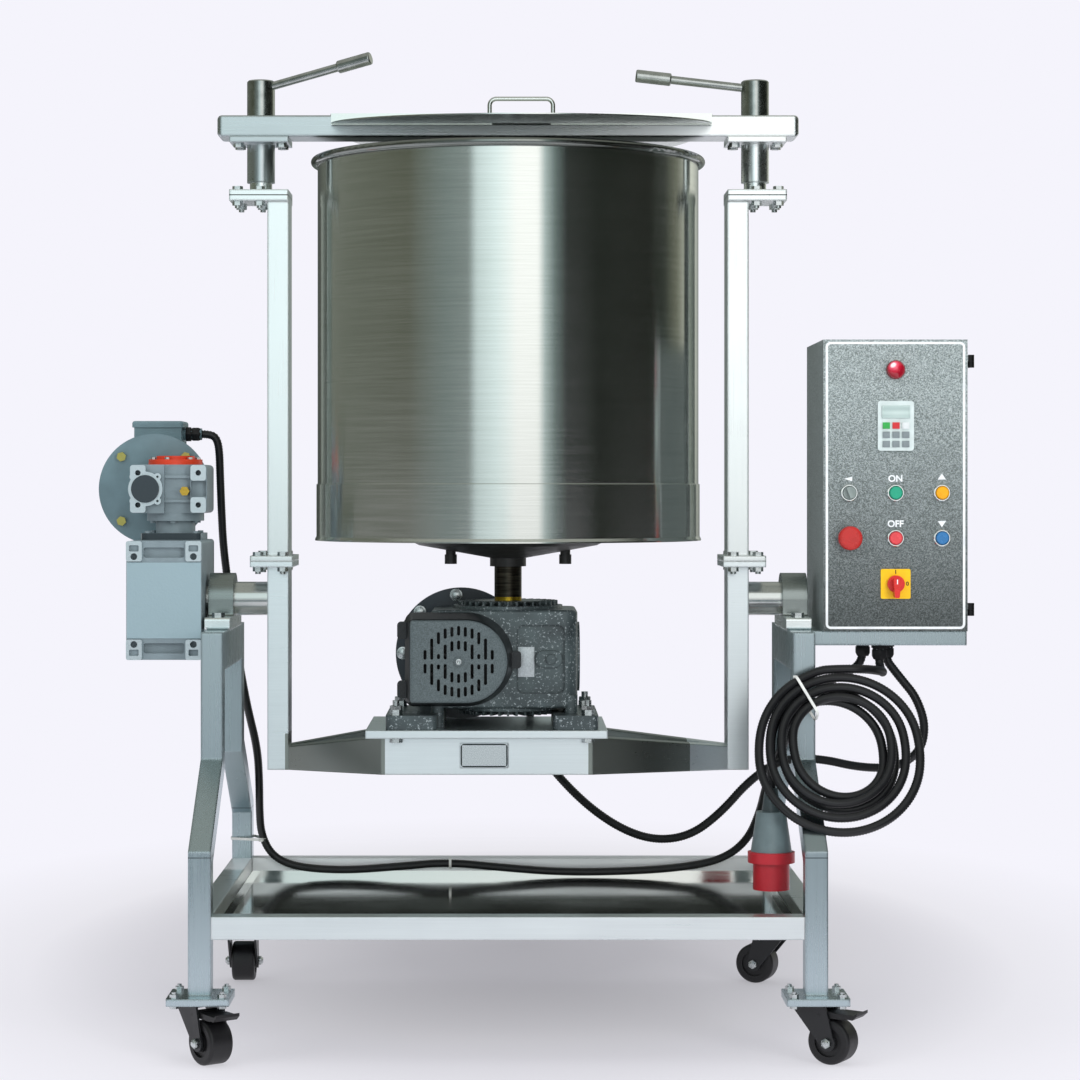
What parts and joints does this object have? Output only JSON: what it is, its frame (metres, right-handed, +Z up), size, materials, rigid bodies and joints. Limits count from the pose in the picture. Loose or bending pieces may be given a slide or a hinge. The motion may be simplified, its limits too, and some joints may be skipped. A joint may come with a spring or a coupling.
{
  "type": "chocolate melanger",
  "caption": "Tilting floor-standing melanger: steel drum with granite base and rollers on a worm-driven yoke, castered stand, tilting drive, control box and coiled cable.",
  "frame": {"origin": "middle of the footprint without the free cables, on the floor under the casters", "axes": "+Z up, -Y towards the operator and the control panel, +X to the operator's right, where the control box is"},
  "size_m": [1.5718, 0.9254, 1.7304],
  "materials": {
    "stainless": "satin",
    "bolts": "bright",
    "shafts": "machined",
    "granite": "ground",
    "black_paint": "satin",
    "dark_grey_paint": "hammertone",
    "cowl_black": "fine grain",
    "light_grey_paint": "semi-gloss",
    "cover_orange": "gloss",
    "bearing_steel": "satin",
    "lever_steel": "polished",
    "caster_steel": "black",
    "caster_tread": "matt",
    "switchgear": "matt",
    "bezel_chrome": "polished",
    "keypad_black": "satin",
    "green_button": "gloss",
    "red_button": "gloss",
    "amber_button": "gloss",
    "blue_button": "gloss",
    "knob_grey": "satin",
    "conduit_black": "ribbed",
    "plug_red": "satin"
  },
  "bodies": {
    "stand": {"left_side_frame": "stainless", "right_side_frame": "stainless", "base_rails": "stainless", "bottom_shelf": "stainless", "bearing_blocks": "bearing_steel", "stand_bolts": "bolts", "tilt_gearbox": "light_grey_paint", "tilt_primary_gearbox": "light_grey_paint", "primary_cover": "cover_orange", "tilt_motor": "light_grey_paint", "control_box": "dark_grey_paint", "drive_unit": "switchgear", "tilt_motor_cable": "conduit_black", "main_motor_cable": "conduit_black", "supply_cable": "conduit_black", "supply_coil": "conduit_black", "plug": "plug_red"},
    "yoke": {"cradle": "stainless", "uprights": "stainless", "yoke_bolts": "bolts", "main_gearbox": "dark_grey_paint", "fan_cowl": "cowl_black", "main_motor": "dark_grey_paint", "trunnions": "stainless"},
    "drum": {"drum_shell": "stainless", "drum_skirt": "stainless", "base_stone": "granite", "drum_hub": "black_paint", "output_shaft": "shafts"},
    "main_worm": {"main_worm": "shafts"},
    "tilt_worm": {"tilt_worm": "shafts"},
    "crossbar": {"crossbar": "stainless", "crossbar_bolts": "bolts", "roller_holder": "stainless", "rear_lid": "stainless"},
    "left_roller": {"left_roller": "granite"},
    "right_roller": {"right_roller": "granite"},
    "left_handle": {"left_handle": "lever_steel"},
    "right_handle": {"right_handle": "lever_steel"},
    "front_lid": {"front_lid": "stainless"},
    "door": {"control_box_door": "dark_grey_paint", "panel_fittings": "bezel_chrome", "keypad": "keypad_black"},
    "on_button": {"on_button": "green_button"},
    "off_button": {"off_button": "red_button"},
    "tilt_button": {"tilt_button": "amber_button"},
    "untilt_button": {"untilt_button": "blue_button"},
    "stop_button": {"stop_button": "red_button"},
    "speed_knob": {"speed_knob": "knob_grey"},
    "main_switch": {"main_switch": "red_button"},
    "front_left_fork": {"front_left_fork": "caster_steel"},
    "front_left_wheel": {"front_left_wheel": "caster_tread"},
    "front_left_brake": {"front_left_brake": "caster_steel"},
    "front_right_fork": {"front_right_fork": "caster_steel"},
    "front_right_wheel": {"front_right_wheel": "caster_tread"},
    "front_right_brake": {"front_right_brake": "caster_steel"},
    "rear_left_fork": {"rear_left_fork": "caster_steel"},
    "rear_left_wheel": {"rear_left_wheel": "caster_tread"},
    "rear_right_fork": {"rear_right_fork": "caster_steel"},
    "rear_right_wheel": {"rear_right_wheel": "caster_tread"}
  },
  "joints": [
    {"name": "yoke_tilt", "type": "hinge", "parent": "stand", "child": "yoke", "pos_m": [-0.0294, 0.00268, 0.757], "axis": [1, 0, 0], "range_deg": [0, 95], "deforming": ["main_motor_cable"]},
    {"name": "tilt_worm_spin", "type": "hinge", "parent": "stand", "child": "tilt_worm", "pos_m": [-0.6369, 0.08268, 0.757], "axis": [0, 0, 1], "range_deg": [0, 3800]},
    {"name": "drum_spin", "type": "hinge", "parent": "yoke", "child": "drum", "pos_m": [-0.0294, 0.00268, 0.865], "axis": [0, 0, 1], "continuous": true},
    {"name": "main_worm_spin", "type": "hinge", "parent": "yoke", "child": "main_worm", "pos_m": [-0.1154, 0.00268, 0.653], "axis": [0, 1, 0], "continuous": true},
    {"name": "crossbar_lift", "type": "slide", "parent": "yoke", "child": "crossbar", "axis": [0, 0, 1], "range_m": [0, 0.018]},
    {"name": "left_handle_turn", "type": "hinge", "parent": "crossbar", "child": "left_handle", "pos_m": [-0.4739, 0.00268, 1.65], "axis": [0, 0, 1], "range_deg": [0, 1440]},
    {"name": "right_handle_turn", "type": "hinge", "parent": "crossbar", "child": "right_handle", "pos_m": [0.4151, 0.00268, 1.65], "axis": [0, 0, 1], "range_deg": [0, 1440]},
    {"name": "left_roller_spin", "type": "hinge", "parent": "crossbar", "child": "left_roller", "pos_m": [-0.1604, 0.00268, 1.0913], "axis": [1, 0, 0], "continuous": true},
    {"name": "right_roller_spin", "type": "hinge", "parent": "crossbar", "child": "right_roller", "pos_m": [0.1016, 0.00268, 1.0913], "axis": [1, 0, 0], "continuous": true},
    {"name": "front_lid_hinge", "type": "hinge", "parent": "crossbar", "child": "front_lid", "pos_m": [-0.0054, -0.04662, 1.606], "axis": [-1, 0, 0], "range_deg": [0, 70]},
    {"name": "door_hinge", "type": "hinge", "parent": "stand", "child": "door", "pos_m": [0.7799, -0.14432, 0.96], "axis": [0, 0, 1], "range_deg": [0, 110]},
    {"name": "on_button_push", "type": "slide", "parent": "door", "child": "on_button", "axis": [0, 1, 0], "range_m": [0, 0.004], "stiffness_N_per_m": 500},
    {"name": "off_button_push", "type": "slide", "parent": "door", "child": "off_button", "axis": [0, 1, 0], "range_m": [0, 0.004], "stiffness_N_per_m": 500},
    {"name": "tilt_button_push", "type": "slide", "parent": "door", "child": "tilt_button", "axis": [0, 1, 0], "range_m": [0, 0.004], "stiffness_N_per_m": 500},
    {"name": "untilt_button_push", "type": "slide", "parent": "door", "child": "untilt_button", "axis": [0, 1, 0], "range_m": [0, 0.004], "stiffness_N_per_m": 500},
    {"name": "stop_button_push", "type": "slide", "parent": "door", "child": "stop_button", "axis": [0, 1, 0], "range_m": [0, 0.006], "stiffness_N_per_m": 600},
    {"name": "speed_knob_turn", "type": "hinge", "parent": "door", "child": "speed_knob", "pos_m": [0.5666, -0.15732, 0.947], "axis": [0, 1, 0], "range_deg": [-115, 155]},
    {"name": "main_switch_turn", "type": "hinge", "parent": "door", "child": "main_switch", "pos_m": [0.6476, -0.15732, 0.788], "axis": [0, 1, 0], "range_deg": [0, 90]},
    {"name": "front_left_swivel", "type": "hinge", "parent": "stand", "child": "front_left_fork", "pos_m": [-0.5419, -0.38232, 0.1], "axis": [0, 0, 1], "continuous": true},
    {"name": "front_left_roll", "type": "hinge", "parent": "front_left_fork", "child": "front_left_wheel", "pos_m": [-0.5222, -0.40754, 0.0375], "axis": [0.788, 0.6157, 0], "continuous": true},
    {"name": "front_left_brake_press", "type": "hinge", "parent": "front_left_fork", "child": "front_left_brake", "pos_m": [-0.53082, -0.39651, 0.084], "axis": [0.788, 0.6157, 0], "range_deg": [0, 8]},
    {"name": "front_right_swivel", "type": "hinge", "parent": "stand", "child": "front_right_fork", "pos_m": [0.4831, -0.38232, 0.1], "axis": [0, 0, 1], "continuous": true},
    {"name": "front_right_roll", "type": "hinge", "parent": "front_right_fork", "child": "front_right_wheel", "pos_m": [0.51081, -0.39832, 0.0375], "axis": [0.5, 0.866, 0], "continuous": true},
    {"name": "front_right_brake_press", "type": "hinge", "parent": "front_right_fork", "child": "front_right_brake", "pos_m": [0.49869, -0.39132, 0.084], "axis": [0.5, 0.866, 0], "range_deg": [0, 8]},
    {"name": "rear_left_swivel", "type": "hinge", "parent": "stand", "child": "rear_left_fork", "pos_m": [-0.5419, 0.38768, 0.1], "axis": [0, 0, 1], "continuous": true},
    {"name": "rear_left_roll", "type": "hinge", "parent": "rear_left_fork", "child": "rear_left_wheel", "pos_m": [-0.5419, 0.41968, 0.0375], "axis": [-1, 0, 0], "continuous": true},
    {"name": "rear_right_swivel", "type": "hinge", "parent": "stand", "child": "rear_right_fork", "pos_m": [0.4831, 0.38768, 0.1], "axis": [0, 0, 1], "continuous": true},
    {"name": "rear_right_roll", "type": "hinge", "parent": "rear_right_fork", "child": "rear_right_wheel", "pos_m": [0.45343, 0.39966, 0.0375], "axis": [-0.3746, -0.9272, 0], "continuous": true}
  ],
  "couplings": [
    {"joint": "tilt_worm_spin", "follows": "yoke_tilt", "ratio": 40},
    {"joint": "main_worm_spin", "follows": "drum_spin", "ratio": 15},
    {"joint": "left_roller_spin", "follows": "drum_spin", "ratio": -0.8733},
    {"joint": "right_roller_spin", "follows": "drum_spin", "ratio": 0.8733},
    {"joint": "left_handle_turn", "follows": "crossbar_lift", "rad_per_m": 1396.2},
    {"joint": "right_handle_turn", "follows": "crossbar_lift", "rad_per_m": 1396.2}
  ]
}
